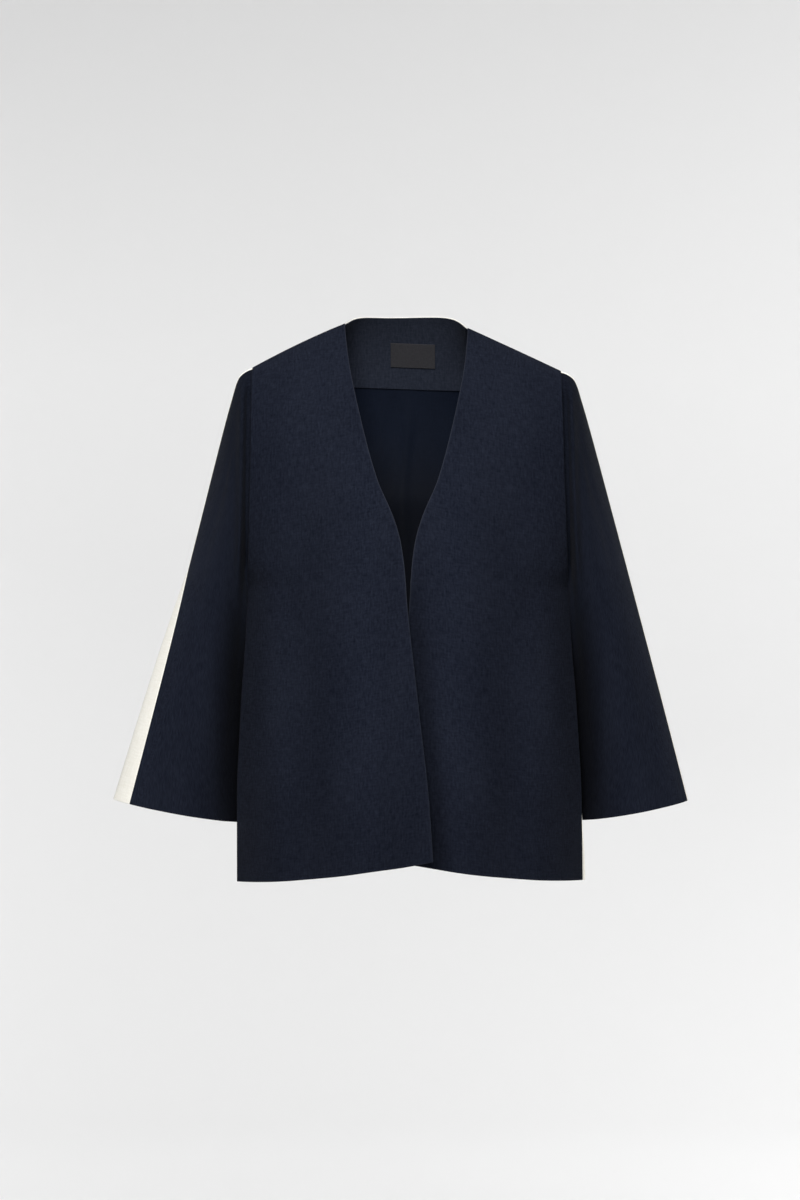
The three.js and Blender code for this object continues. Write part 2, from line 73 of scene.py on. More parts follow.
def curveOf(rows, key):
    # a smooth curve through every column of a table, with no overshoot
    knots = np.array([row[key] for row in rows], float)
    columns = {}
    for name in rows[0]:
        values = np.array([row[name] for row in rows], float)
        steps = np.diff(values) / np.diff(knots)
        before = np.concatenate([steps[:1], steps])
        after = np.concatenate([steps, steps[-1:]])
        total = np.where(before + after == 0, 1, before + after)
        columns[name] = (values, np.where(before * after > 0, 2 * before * after / total, 0))

    def at(where):
        place = np.clip(where, knots[0], knots[-1])
        low = np.clip(np.searchsorted(knots, place, side="right") - 1, 0, len(knots) - 2)
        span = knots[low + 1] - knots[low]
        s = (place - knots[low]) / span
        return {
            name: (1 + 2 * s) * (1 - s) ** 2 * v[low] + s * (1 - s) ** 2 * span * m[low]
            + s * s * (3 - 2 * s) * v[low + 1] + s * s * (s - 1) * span * m[low + 1]
            for name, (v, m) in columns.items()
        }

    return at


# The garment's cut, shared by all its pieces. panelWidth is one front's, or half the back's, and the two
# lengths run from the hem to the underarm and from there to the shoulder.

cut = {
    "neckHalf": 74, "neckDepth": 49, "neckRise": 14,
    "tipX": 185, "tipZ": -52.6, "shoulderBow": 1.2, "shoulderY": 3,
    "underarmZ": -318, "sideHemZ": -662.6, "frontCornerZ": -634.5, "backHemZ": -652, "hemBow": 3.4,
    "hemDropRight": 3.4, "hemDropLeft": 1.6,
    "bustZ": -235, "bladeZ": -200, "foldTopZ": -190,
    "frontWall": 1.9, "backWall": 1.6, "sleeveWall": 1.6, "seamGap": 0.3,
    "panelWidth": 200, "lowerLength": 340, "upperLength": 280,
    "turnToSeam": 6,
}

halfGap = cut["seamGap"] / 2

lean = {
    "atTop": -2, "perHeight": 4 / 660,
    "tilt": 3.3, "tiltReach": 240, "tiltHeld": 0.85, "tiltFadeZ": -300,
}

# Level sections: half width, depth at the centre in front and behind, depth that each panel's long
# curve runs out to (Core), and depth at the side seams or the armhole (Side)
bodySections = table("z half front frontCore frontSide backSide backCore back", [
    (-663, 206.4, -118, -44, -22, -22, 42, 112),
    (-560, 205.8, -119, -44, -22, -22, 43, 114),
    (-495, 202.6, -119, -45, -23, -23, 44, 115),
    (-447, 199.9, -119, -46, -24, -24, 45, 115),
    (-388, 195.2, -118, -48, -25, -25, 47, 114),
    (-318, 191.4, -117, -51, -26, -26, 50, 113),
    (-290, 189.9, -116, -53, -43, 14, 52, 112),
    (-260, 188.6, -114.5, -55, -54, 42, 54, 111),
    (-235, 187.6, -113, -58, -59, 53, 56, 109.5),
    (-200, 186.6, -113, -61, -61, 60, 59, 107),
    (-150, 185.6, -113, -61, -61, 60, 60, 107),
    (-52, 185, -113, -61, -61, 60, 60, 107),
])
sectionAt = curveOf(bodySections, "z")


def sectionDepth(centre, core, side, share, fullness):
    out = np.minimum(np.abs(share), 1)
    return core + (centre - core) * (1 - out ** fullness) + (side - core) * out ** cut["turnToSeam"]


def hang(points):
    # the lean of the whole garment and its lower shoulder
    x, y, z = points[..., 0], points[..., 1], points[..., 2]
    held = lean["tiltHeld"] * lean["tiltReach"]
    angle = math.pi * np.clip(x, -held, held) / lean["tiltReach"]
    drop = lean["tilt"] * np.sin(angle) * smooth(z, lean["tiltFadeZ"], 0)
    return np.stack([x + lean["atTop"] - lean["perHeight"] * z, y, z - drop], axis=-1)


def sideHemAt(side):
    # the hem at the side seam, which hangs lower on the wearer's right
    return cut["sideHemZ"] - np.where(side < 0, cut["hemDropRight"], cut["hemDropLeft"])


def shoulderZ(reach):
    share = ramp(reach, cut["neckHalf"], cut["tipX"])
    return share * cut["tipZ"] + cut["shoulderBow"] * arched(share)


def leaving(share, ease):
    # how far a slope has left its ridge
    return (1 - (1 - share) ** 2) ** ease


# Creases: soft troughs and ridges, listed one by one. Each runs from one place on the cloth to another, in
# millimetres of its own pattern, and fades at both ends. out is negative for a trough. The form says how
# all of them widen, waver and fade, and how far from a sewn seam they start and are whole.

creaseColumns = "start end out width bend tail"
creaseForm = {
    "startWidth": 0.75, "widening": 0.35, "widthWaver": 0.15, "widthWaves": 9,
    "lineWaver": 0.012, "lineWaves": 7, "heightWaver": 0.22, "heightWaves": 11,
    "fadeFrom": -0.12, "fadeFull": 0.22, "tail": 0.5, "tailEnd": 1.1,
    "besideSide": (2, 30), "besideShoulder": (4, 40),
}


def creaseHeight(across, along, creases):
    # the crease's number keeps any two from wavering alike
    form = creaseForm
    height = np.zeros_like(across)
    for n, crease in enumerate(creases):
        (x0, y0), (x1, y1) = crease["start"], crease["end"]
        length = math.hypot(x1 - x0, y1 - y0)
        ux, uy = (x1 - x0) / length, (y1 - y0) / length
        share = ((across - x0) * ux + (along - y0) * uy) / length
        off = (across - x0) * uy - (along - y0) * ux
        onIt = np.clip(share, 0, 1)
        waver = form["lineWaver"] * length * np.sin(form["lineWaves"] * share + n)
        sway = crease.get("bend", 0) * np.sin(math.pi * onIt) + waver
        width = crease["width"] * (form["startWidth"] + form["widening"] * onIt)
        width = width * (1 + form["widthWaver"] * np.sin(form["widthWaves"] * share + 2 * n))
        tail = smooth(share, 1 - crease.get("tail", form["tail"]), form["tailEnd"])
        ends = smooth(share, form["fadeFrom"], form["fadeFull"]) * (1 - tail)
        uneven = 1 + form["heightWaver"] * np.sin(form["heightWaves"] * share + 1.7 * n)
        height += crease["out"] * ends * uneven * bell(off - sway, width)
    return height


def heldFlat(place, upper):
    # what is left of a crease beside a side seam and a shoulder seam, which hold the cloth flat
    atSide = smooth(cut["panelWidth"] * (1 - np.abs(place)), *creaseForm["besideSide"])
    return atSide * smooth(cut["upperLength"] * (1 - upper), *creaseForm["besideShoulder"])


# Slow waves of hanging cloth: radians per millimetre across and along it, and the angle each starts at
slowWaves = {
    "height": 0.6, "fall": 0.4,
    "waves": [
        (0.021, 0.006, 0.9), (0.043, -0.011, 2.1), (0.012, 0.017, 4.2),
        (0.069, 0.009, 1.3), (0.031, 0.027, 5.5),
    ],
}


def unevenness(across, along, size, seed):
    total = 0
    for n, (a, b, start) in enumerate(slowWaves["waves"]):
        height = slowWaves["height"] * math.sin(seed * (n + 1)) / (1 + slowWaves["fall"] * n)
        total = total + height * np.sin(a * across + b * along + start + seed)
    return size * total


# Meshes: each piece is a thin wall with rounded edges on a grid of points

# Points stand close together over a rounded edge, at these numbers of half walls in from it. The evenly
# spaced ones start further in.
edgeSteps = np.array([0, 0.08, 0.28, 0.6, 1.0])
edgeCount = len(edgeSteps)
evenFrom = 1.6
lastPlace = 0.999    # only a piece's outermost points lie beyond it


def stations(length, count, rim):
    # places from 0 to 1 along a length, close together at both ends. rim is half the wall.
    edge = edgeSteps * rim / length
    first = evenFrom * rim / length
    return np.concatenate([edge, np.linspace(first, 1 - first, count), 1 - edge[::-1]])


def fromEdge(places, length):
    return np.minimum(places, 1 - places) * length


def fromEnds(lengths):
    return np.minimum(lengths, lengths[-1] - lengths)


def unit(vectors):
    return vectors / np.maximum(np.linalg.norm(vectors, axis=-1, keepdims=True), 1e-9)


def gridNormals(points, outward):
    return unit(np.cross(np.gradient(points, axis=1), np.gradient(points, axis=0)) * outward)


def runningLength(points, axis):
    steps = np.linalg.norm(np.diff(points, axis=axis), axis=-1)
    start = np.zeros_like(np.take(steps, [0], axis=axis))
    return np.concatenate([start, np.cumsum(steps, axis=axis)], axis=axis)


def roundedShare(distance, rim):
    # how much of its thickness a wall has at a distance from its rounded edge
    inwards = np.minimum(distance / rim, 1)
    return np.sqrt(np.maximum(1 - (1 - inwards) ** 2, 0))


def addObject(name, data):
    made = bpy.data.objects.new(name, data)
    bpy.context.scene.collection.objects.link(made)
    return made


def wallPiece(name, outer, normals, wall, rows, columns, grain, material, rim=None, paintedLightAndShade=None):
    # outer is the cloth's outer face. rows and columns give each point's distance from the edges.
    half = wall / 2
    thick = half * roundedShare(rows, half)[:, None, None] * roundedShare(columns, half)[None, :, None]
    middle = outer - normals * half
    faces = [hang(middle + normals * thick), hang(middle - normals * thick)]
    # the two faces share their outermost points
    count, width = outer.shape[:2]
    ids = np.arange(count * width).reshape(count, width)
    inner = ids.copy()
    inner[1:-1, 1:-1] += count * width
    quads = []
    for face, order in ((ids, (0, 1, 2, 3)), (inner, (0, 3, 2, 1))):
        corners = (face[:-1, :-1], face[:-1, 1:], face[1:, 1:], face[1:, :-1])
        quads.append(np.stack([corners[n].ravel() for n in order], axis=1))
    quads = np.concatenate(quads)
    side = np.cross(outer[1, 1] - outer[1, 0], outer[2, 1] - outer[1, 1])
    if np.dot(side, normals[1, 1]) < 0:
        quads = quads[:, ::-1]
    points = np.concatenate([face.reshape(-1, 3) for face in faces]) * toMetres
    used = np.unique(quads)
    renumber = np.zeros(len(points), int)
    renumber[used] = np.arange(len(used))
    mesh = bpy.data.meshes.new(name)
    mesh.vertices.add(len(used))
    mesh.vertices.foreach_set("co", points[used].astype(np.float32).ravel())
    quads = renumber[quads]
    mesh.loops.add(quads.size)
    mesh.loops.foreach_set("vertex_index", quads.astype(np.int32).ravel())
    mesh.polygons.add(len(quads))
    mesh.polygons.foreach_set("loop_start", np.arange(0, quads.size, 4, dtype=np.int32))
    mesh.polygons.foreach_set("use_smooth", np.ones(len(quads), bool))
    mesh.update(calc_edges=True)
    across, along = grain
    layer = mesh.uv_layers.new(name="grain")
    pattern = np.stack([across.ravel(), along.ravel()], axis=1) * toMetres
    pattern = np.concatenate([pattern, pattern])[used]
    layer.data.foreach_set("uv", pattern[quads.ravel()].astype(np.float32).ravel())
    # how much each point belongs to a turned edge, which is lighter partly from wear and partly as a painted
    # highlight, and how much painted light and shade it has
    for label, values in (("rim", rim), ("paintedLightAndShade", paintedLightAndShade)):
        if values is not None:
            layer = mesh.attributes.new(label, "FLOAT", "POINT")
            layer.data.foreach_set("value", np.concatenate([values.ravel()] * 2)[used].astype(np.float32))
    mesh.validate()
    piece = addObject(name, mesh)
    piece.data.materials.append(material)
    return piece


def dress(piece, node):
    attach(piece, "root")
    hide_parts(node)
    print("made", piece.name, len(piece.data.polygons), "faces")


# Materials

# What all the woven cloths have in common. Depths are metres. A look's slubs, filling and specks are cells
# to the metre, across and along, and the mottle takes what their shares of the tone leave.
weaving = {
    "slubGrain": {"detail": 3, "rough": 0.55}, "fineGrain": {"detail": 2, "rough": 0.5},
    "speckGrain": {"detail": 2, "rough": 0.6}, "speckLength": 0.7, "mottle": (14, 7),
    "toneFrom": 0.3, "toneTo": 0.7,
    "weftShare": 0.8, "threadWaver": 0.6, "threadDetail": 1, "threadDetailScale": 0.5,
    "threadDepth": 0.0003, "slubDepth": 0.0006,
    "surface": ("Roughness", "Specular IOR Level", "Sheen Weight", "Sheen Roughness"),
}
mixSockets = {"share": 0, "first": 6, "second": 7, "result": 2}    # of a node that mixes colours


class Nodes:
    # a short way to lay out a material's nodes
    def __init__(self, name):
        self.material = bpy.data.materials.new(name)
        self.material.use_nodes = True
        self.tree = self.material.node_tree
        self.tree.nodes.clear()
        self.output = self.tree.nodes.new("ShaderNodeOutputMaterial")
        self.shader = self.tree.nodes.new("ShaderNodeBsdfPrincipled")
        self.join(self.shader, "BSDF", self.output, "Surface")
        self.grain = self.tree.nodes.new("ShaderNodeUVMap")
        self.grain.uv_map = "grain"

    def join(self, source, output, target, socket):
        self.tree.links.new(source.outputs[output], target.inputs[socket])

    def stretched(self, across, along):
        # the cloth's pattern in cells so many to the metre
        node = self.tree.nodes.new("ShaderNodeMapping")
        node.inputs["Scale"].default_value = (across, along, 1)
        self.join(self.grain, "UV", node, "Vector")
        return node

    def attribute(self, name):
        node = self.tree.nodes.new("ShaderNodeAttribute")
        node.attribute_name = name
        return node

    def noise(self, across, along, detail, rough):
        node = self.tree.nodes.new("ShaderNodeTexNoise")
        node.inputs["Scale"].default_value = 1
        node.inputs["Detail"].default_value = detail
        node.inputs["Roughness"].default_value = rough
        self.join(self.stretched(across, along), "Vector", node, "Vector")
        return node

    def threads(self, perMetre, direction):
        # rows of threads, running along or across the cloth. At a scale of 1 the texture turns through
        # 20 radians a metre, and half a turn makes a thread.
        node = self.tree.nodes.new("ShaderNodeTexWave")
        node.bands_direction = direction
        node.inputs["Scale"].default_value = perMetre * math.pi / 20
        node.inputs["Distortion"].default_value = weaving["threadWaver"]
        node.inputs["Detail"].default_value = weaving["threadDetail"]
        node.inputs["Detail Scale"].default_value = weaving["threadDetailScale"]
        self.join(self.grain, "UV", node, "Vector")
        return node

    def toneShare(self, source, share):
        # a noise keeps near the middle of its range, which is spread over a share of the cloth's tone
        node = self.tree.nodes.new("ShaderNodeMapRange")
        ends = {"From Min": weaving["toneFrom"], "From Max": weaving["toneTo"], "To Min": 0, "To Max": share}
        for name, value in ends.items():
            node.inputs[name].default_value = value
        self.join(source, "Fac", node, "Value")
        return node

    def calc(self, operation, first, second):
        node = self.tree.nodes.new("ShaderNodeMath")
        node.operation = operation
        for index, item in enumerate((first, second)):
            if isinstance(item, (int, float)):
                node.inputs[index].default_value = item
            else:
                self.tree.links.new(item[0].outputs[item[1]], node.inputs[index])
        return node

    def blendColours(self, source, output, low, high):
        node = self.tree.nodes.new("ShaderNodeValToRGB")
        node.color_ramp.elements[0].color = (*low, 1)
        node.color_ramp.elements[1].color = (*high, 1)
        self.join(source, output, node, "Fac")
        return node

    def bump(self, source, output, strength, distance, under=None):
        node = self.tree.nodes.new("ShaderNodeBump")
        node.inputs["Strength"].default_value = strength
        node.inputs["Distance"].default_value = distance
        self.join(source, output, node, "Height")
        if under is not None:
            self.join(under, "Normal", node, "Normal")
        return node

    def finish(self, surface):
        for name, value in zip(weaving["surface"], surface):
            self.shader.inputs[name].default_value = value
        return self.material


def wovenCloth(name, look):
    # thick and thin threads along the grain, finer ones across it, specks and a slow mottle
    cloth = Nodes(name)
    slubs = cloth.noise(*look["slubs"], **weaving["slubGrain"])
    filling = cloth.noise(*look["filling"], **weaving["fineGrain"])
    specks = cloth.noise(look["specks"], look["specks"] * weaving["speckLength"], **weaving["speckGrain"])
    mottle = cloth.noise(*weaving["mottle"], **weaving["fineGrain"])
    shares = [*look["shares"], 1 - sum(look["shares"])]
    tone = (cloth.toneShare(slubs, shares[0]), "Result")
    for source, share in zip((filling, specks, mottle), shares[1:]):
        part = (cloth.toneShare(source, share), "Result")
        tone = (cloth.calc("ADD", tone, part), "Value")
    body = cloth.blendColours(*tone, look["dark"], look["light"])
    # the turned edges are a little lighter, partly from wear and partly as a painted highlight where the edge
    # catches the light
    edge = cloth.tree.nodes.new("ShaderNodeMix")
    edge.data_type = "RGBA"
    edge.inputs[mixSockets["second"]].default_value = (*look["edge"], 1)
    cloth.join(cloth.attribute("rim"), "Fac", edge, mixSockets["share"])
    cloth.join(body, "Color", edge, mixSockets["first"])
    # and painted light and shade, which scales the colour up for painted highlights and down for painted
    # shade and shadows
    worn = cloth.tree.nodes.new("ShaderNodeVectorMath")
    worn.operation = "SCALE"
    cloth.join(edge, mixSockets["result"], worn, 0)
    cloth.join(cloth.calc("ADD", (cloth.attribute("paintedLightAndShade"), "Fac"), 1), "Value", worn, "Scale")
    cloth.join(worn, "Vector", cloth.shader, "Base Color")
    warp = cloth.threads(look["threadsPerMetre"], "X")
    weft = cloth.threads(look["threadsPerMetre"] * weaving["weftShare"], "Y")
    weave = cloth.calc("MULTIPLY", (warp, "Fac"), (weft, "Fac"))
    fine = cloth.bump(weave, "Value", look["weaveBump"], weaving["threadDepth"])
    thick = cloth.bump(slubs, "Fac", look["slubBump"], weaving["slubDepth"], fine)
    cloth.join(thick, "Normal", cloth.shader, "Normal")
    return cloth.finish(look["surface"])


# edge is the colour of the turned edges, lighter partly from wear and partly as a painted highlight
navyLook = {
    "slubs": (480, 95), "filling": (95, 520), "specks": 400, "shares": (0.36, 0.22, 0.24),
    "dark": (0.0012, 0.0022, 0.0060), "light": (0.0148, 0.0182, 0.0298), "edge": (0.022, 0.025, 0.036),
    "threadsPerMetre": 1600, "weaveBump": 0.35, "slubBump": 0.35, "surface": (0.95, 0.05, 0.01, 0.5),
}
# the facing is the navy denim painted lighter: painted light for the light that reaches the facing inside the
# neck
facingLitLook = {**navyLook, "dark": (0.0075, 0.0100, 0.0170), "light": (0.0270, 0.0320, 0.0475)}
ecruLook = {
    "slubs": (500, 60), "filling": (60, 500), "specks": 500, "shares": (0.35, 0.3, 0.2),
    "dark": (0.80, 0.775, 0.69), "light": (0.965, 0.945, 0.885), "edge": (0.93, 0.905, 0.84),
    "threadsPerMetre": 1600, "weaveBump": 0.35, "slubBump": 0.3, "surface": (0.92, 0.15, 0.1, 0.5),
}
liningLook = {
    "slubs": (900, 80), "filling": (80, 900), "specks": 900, "shares": (0.4, 0.3, 0.1),
    "dark": (0.0024, 0.0044, 0.0100), "light": (0.0044, 0.0076, 0.0172), "edge": (0.004, 0.007, 0.015),
    "threadsPerMetre": 2600, "weaveBump": 0.15, "slubBump": 0.1, "surface": (0.6, 0.08, 0.01, 0.4),
}
labelLook = {
    "slubs": (1500, 200), "filling": (200, 2200), "specks": 1500, "shares": (0.4, 0.4, 0.1),
    "dark": (0.022, 0.0215, 0.0245), "light": (0.040, 0.0395, 0.044), "edge": (0.045, 0.044, 0.048),
    "threadsPerMetre": 3000, "weaveBump": 0.3, "slubBump": 0.1, "surface": (0.8, 0.1, 0.02, 0.4),
}
navyDenim = wovenCloth("navyDenim", navyLook)
facingLitCloth = wovenCloth("facingLitCloth", facingLitLook)
ecruCloth = wovenCloth("ecruCloth", ecruLook)
liningCloth = wovenCloth("liningCloth", liningLook)
labelCloth = wovenCloth("labelCloth", labelLook)
print("materials ready")


# Camera, stage and light

studio = {
    "cameraPlace": (-9.6, -4000, -330), "lens": 100, "filmHeight": 36, "clipEnd": 100,
    "floorZ": -1500, "stageRadius": 6500, "stageY": -1300, "bendRadius": 1800, "wallTopZ": 2600,
    "stageSides": 144, "bendSteps": 24,
    "stageColour": (0.755, 0.755, 0.755), "stageRoughness": 0.95, "stageSpecular": 0.1,
    "airStrength": 0.2,
}


def makeCamera():
    data = bpy.data.cameras.new("camera")
    data.sensor_fit = "VERTICAL"
    data.sensor_height = studio["filmHeight"]
    data.lens = studio["lens"]
    data.clip_end = studio["clipEnd"]
    camera = addObject("camera", data)
    camera.location = [value * toMetres for value in studio["cameraPlace"]]
    camera.rotation_euler = (math.pi / 2, 0, 0)
    bpy.context.scene.camera = camera


def makeStage():
    # a round floor that bends up into a wall on every side
    radius, bend, floorZ = studio["stageRadius"], studio["bendRadius"], studio["floorZ"]
    profile = []
    for n in range(studio["bendSteps"] + 1):
        angle = math.pi / 2 * n / studio["bendSteps"]
        profile.append((radius - bend + bend * math.sin(angle), floorZ + bend * (1 - math.cos(angle))))
    profile.append((radius, studio["wallTopZ"]))
    count = studio["stageSides"]
    points = []
    for reach, z in profile:
        for n in range(count):
            angle = 2 * math.pi * n / count
            points.append((reach * math.cos(angle), studio["stageY"] + reach * math.sin(angle), z))
    faces = [tuple(range(count))]
    for low in range(0, len(points) - count, count):
        for n in range(count):
            after = (n + 1) % count
            faces.append((low + n, low + count + n, low + count + after, low + after))
    mesh = bpy.data.meshes.new("backdrop")
    mesh.from_pydata([[value * toMetres for value in point] for point in points], [], faces)
    mesh.polygons.foreach_set("use_smooth", [True] * len(faces))
    backdrop = addObject("backdrop", mesh)
    paper = bpy.data.materials.new("backdropPaper")
    paper.use_nodes = True
    shader = paper.node_tree.nodes["Principled BSDF"]
    shader.inputs["Base Color"].default_value = (*studio["stageColour"], 1)
    shader.inputs["Roughness"].default_value = studio["stageRoughness"]
    shader.inputs["Specular IOR Level"].default_value = studio["stageSpecular"]
    backdrop.data.materials.append(paper)


lamps = table("name place aim size power", [
    ("key", (-250, -2100, 1500), (0, 0, -330), 1100, 91),
    ("fill", (400, -3700, 0), (0, 0, -330), 1400, 14),
    ("behind", (900, 3400, 1700), (0, 0, -330), 2600, 35),
    ("backdrop", (2600, 2000, 700), (200, 5000, -1500), 2400, 76),
    ("sweep", (-3000, 2600, -600), (-300, 4700, -1400), 1800, 49),
])


def makeLamps():
    for lamp in lamps:
        data = bpy.data.lights.new(lamp["name"], "AREA")
        data.shape = "SQUARE"
        data.size = lamp["size"] * toMetres
        data.energy = lamp["power"]
        light = addObject(lamp["name"], data)
        place = np.array(lamp["place"], float)
        light.location = place * toMetres
        x, y, z = place - np.array(lamp["aim"], float)
        light.rotation_euler = (math.acos(z / math.hypot(x, y, z)), 0, math.atan2(y, x) + math.pi / 2)
    world = bpy.data.worlds.new("studioAir")
    world.use_nodes = True
    air = world.node_tree.nodes["Background"]
    air.inputs["Color"].default_value = (1.0, 1.0, 1.0, 1)
    air.inputs["Strength"].default_value = studio["airStrength"]
    bpy.context.scene.world = world


makeCamera()
makeStage()
makeLamps()
bpy.context.scene.view_settings.view_transform = "Standard"
print("camera and light ready")


# Fronts: the wearer's right one laps over the left towards the hem

fronts = {
    "columns": 95, "lowerRows": 110, "upperRows": 120, "fullness": 2.6, "uneven": 0.5, "grainAt": 100,
    "ridgeNeck": 0.93, "ridgeTip": 0.66, "archPower": 6,
    "lapStartZ": -285, "lapCrossZ": -345, "lapCross": 4.5, "lapOver": 15, "lapUnder": 8, "lapFade": 55,
    # the opening's edge and the hem are painted lighter, partly wear and partly a painted highlight, and
    # dimmer lower down
    "edgeWearAndHighlight": {"width": 0.8, "wornZ": (-300, -400), "lost": 0.55, "atHem": 0.4},
    # painted light and shade on the fronts: bands of painted highlight and shade for the drape's soft folds,
    # fading towards the hem, and painted shade towards the hem
    "paintedBands": table("at by width", [(50, 0.14, 17), (106, -0.10, 17), (150, 0.04, 14), (190, -0.10, 12)]),
    "paintedBandsFrom": (-90, -230), "paintedBandsFade": (-520, -660), "paintedBandsLost": 0.5,
    "paintedHemShade": {"z": (-480, -640), "by": 0.09},
    # painted shadow on the under front, beside the over front's edge
    "paintedShade": {"under": 0.38, "past": 6.5, "width": 9, "z": (-260, -390)},
    "seamOut": 0.4, "seamReach": 6, "seamFade": 8, "seamEase": 3,
    "edge": table("z reach", [
        (-633, -27.3), (-561, -22.7), (-468, -12.8), (-375, -2.8), (-337, 1), (-293, 4),
        (-262, 8.3), (-235, 16), (-188, 35.6), (-117, 54.6), (-43, 69.3), (0, 74),
    ]),
    "folds": table("at out width", [(30, -1.5, 15), (71, 4, 22), (117, -3, 20), (152, 1.5, 14)]),
    "rightCreases": table(creaseColumns, [
        ((0, -313), (30, -309), -0.9, 2.8, 0, 0.6),
        ((168, -250), (120, -420), -1.4, 11, 6),
        ((150, -130), (110, -235), 0.9, 12, -5),
        ((95, -330), (88, -600), 0.8, 13, 5),
        ((50, -470), (42, -640), -0.9, 10, 3, 0.2),
        ((160, -480), (150, -650), 1.0, 12, -4, 0.2),
    ]),
    "leftCreases": table(creaseColumns, [
        ((2, -308), (24, -313), -0.7, 2.6, 0, 0.6),
        ((170, -262), (128, -400), -1.2, 10, 5),
        ((140, -120), (100, -245), 0.8, 13, -6),
        ((80, -360), (96, -610), 0.9, 12, -5),
        ((130, -450), (126, -645), -1.0, 11, 4, 0.2),
    ]),
}
frontEdgeAt = curveOf(fronts["edge"], "z")


def foldsAt(folds, place, z):
    hanging = smooth(z, cut["foldTopZ"], cut["sideHemZ"])
    return hanging * sum(fold["out"] * bell(place - fold["at"], fold["width"]) for fold in folds)


def frontDepth(reach, z):
    low = sectionAt(np.minimum(z, cut["bustZ"]))
    share = reach / low["half"]
    depth = sectionDepth(low["front"], low["frontCore"], low["frontSide"], share, fronts["fullness"])
    depth = depth - foldsAt(fronts["folds"], reach, z)
    along = ramp(reach, cut["neckHalf"], cut["tipX"])
    ridge = cut["shoulderY"] * (1 - along)
    dropped = ramp(z, shoulderZ(reach), cut["bustZ"])
    top = ridge + (depth - ridge) * leaving(dropped, mix(fronts["ridgeNeck"], fronts["ridgeTip"], along))
    return np.where(z <= cut["bustZ"], depth, top)


def lapShift(reach, z, atHem):
    upper = fronts["lapCross"] * smooth(z, fronts["lapStartZ"], fronts["lapCrossZ"])
    lower = mix(fronts["lapCross"], atHem, ramp(z, fronts["lapCrossZ"], cut["frontCornerZ"]))
    return np.where(z > fronts["lapCrossZ"], upper, lower) * (1 - smooth(reach, 0, fronts["lapFade"]))


# Rows of points run from the hem to the underarm and on to the shoulder, closer together at both ends.
# The last step over an edge, and where the free rows start, are in half walls like the other steps.
rowForm = {"lastStep": 1.8, "freeFrom": 3, "drawnUp": 1.5}


def rowPlaces(lowerCount, upperCount, rim):
    edge = np.append(edgeSteps, rowForm["lastStep"]) * rim
    free = rowForm["freeFrom"] * rim
    lower = np.concatenate([edge, np.linspace(free, cut["lowerLength"], lowerCount)]) / cut["lowerLength"]
    upper = 1 - (1 - np.linspace(0, 1, upperCount)[1:-1]) ** rowForm["drawnUp"]
    upper = upper[upper < 1 - free / cut["upperLength"]]
    upper = np.concatenate([upper, 1 - edge[::-1] / cut["upperLength"]])
    lowers = np.concatenate([lower, np.ones(len(upper))])
    uppers = np.concatenate([np.zeros(len(lower)), upper])
    away = np.where(lowers < 1, lowers * cut["lowerLength"], (1 - uppers) * cut["upperLength"])
    return lowers, uppers, away


def shoulderRows(uppers, rim):
    # the rows that lie over the shoulder seam's rounded edge
    return (uppers >= 1 - rowForm["lastStep"] * rim / cut["upperLength"])[:, None]


def seamTurn(normals, uppers, sideColumns, atShoulder):
    # turn the normals into each seam's own plane, so that the walls on both sides stay apart
    normals = np.where(atShoulder[..., None], normals * np.array([1, 0, 1]), normals)
    low = uppers <= 0
    for column in sideColumns:
        normals[low, column] *= np.array([1, 0, 1])
        normals[~low, column] *= np.array([0, 1, 1])
    return unit(normals)


# painted light and shade: slow bands of painted highlight and shade for the soft folds of the drape, and
# painted shade towards the hem
def frontPaintedLight(reach, z, under):
    # slow bands in the dye, and a darker hem
    lost = fronts["paintedBandsLost"] * smooth(z, *fronts["paintedBandsFade"])
    bands = sum(band["by"] * bell(reach - band["at"], band["width"]) for band in fronts["paintedBands"])
    hem = fronts["paintedHemShade"]
    paintedLightAndShade = smooth(z, *fronts["paintedBandsFrom"]) * (1 - lost) * bands
    paintedLightAndShade = paintedLightAndShade - hem["by"] * smooth(z, *hem["z"])
    if under:
        # painted shadow: it is darker beside the other front's edge, which laps over it and shades it
        paintedShade = fronts["paintedShade"]
        past = reach + frontEdgeAt(z)["reach"] - paintedShade["past"]
        covered = smooth(z, *paintedShade["z"])
        paintedLightAndShade = paintedLightAndShade - paintedShade["under"] * covered * bell(past, paintedShade["width"])
    return paintedLightAndShade


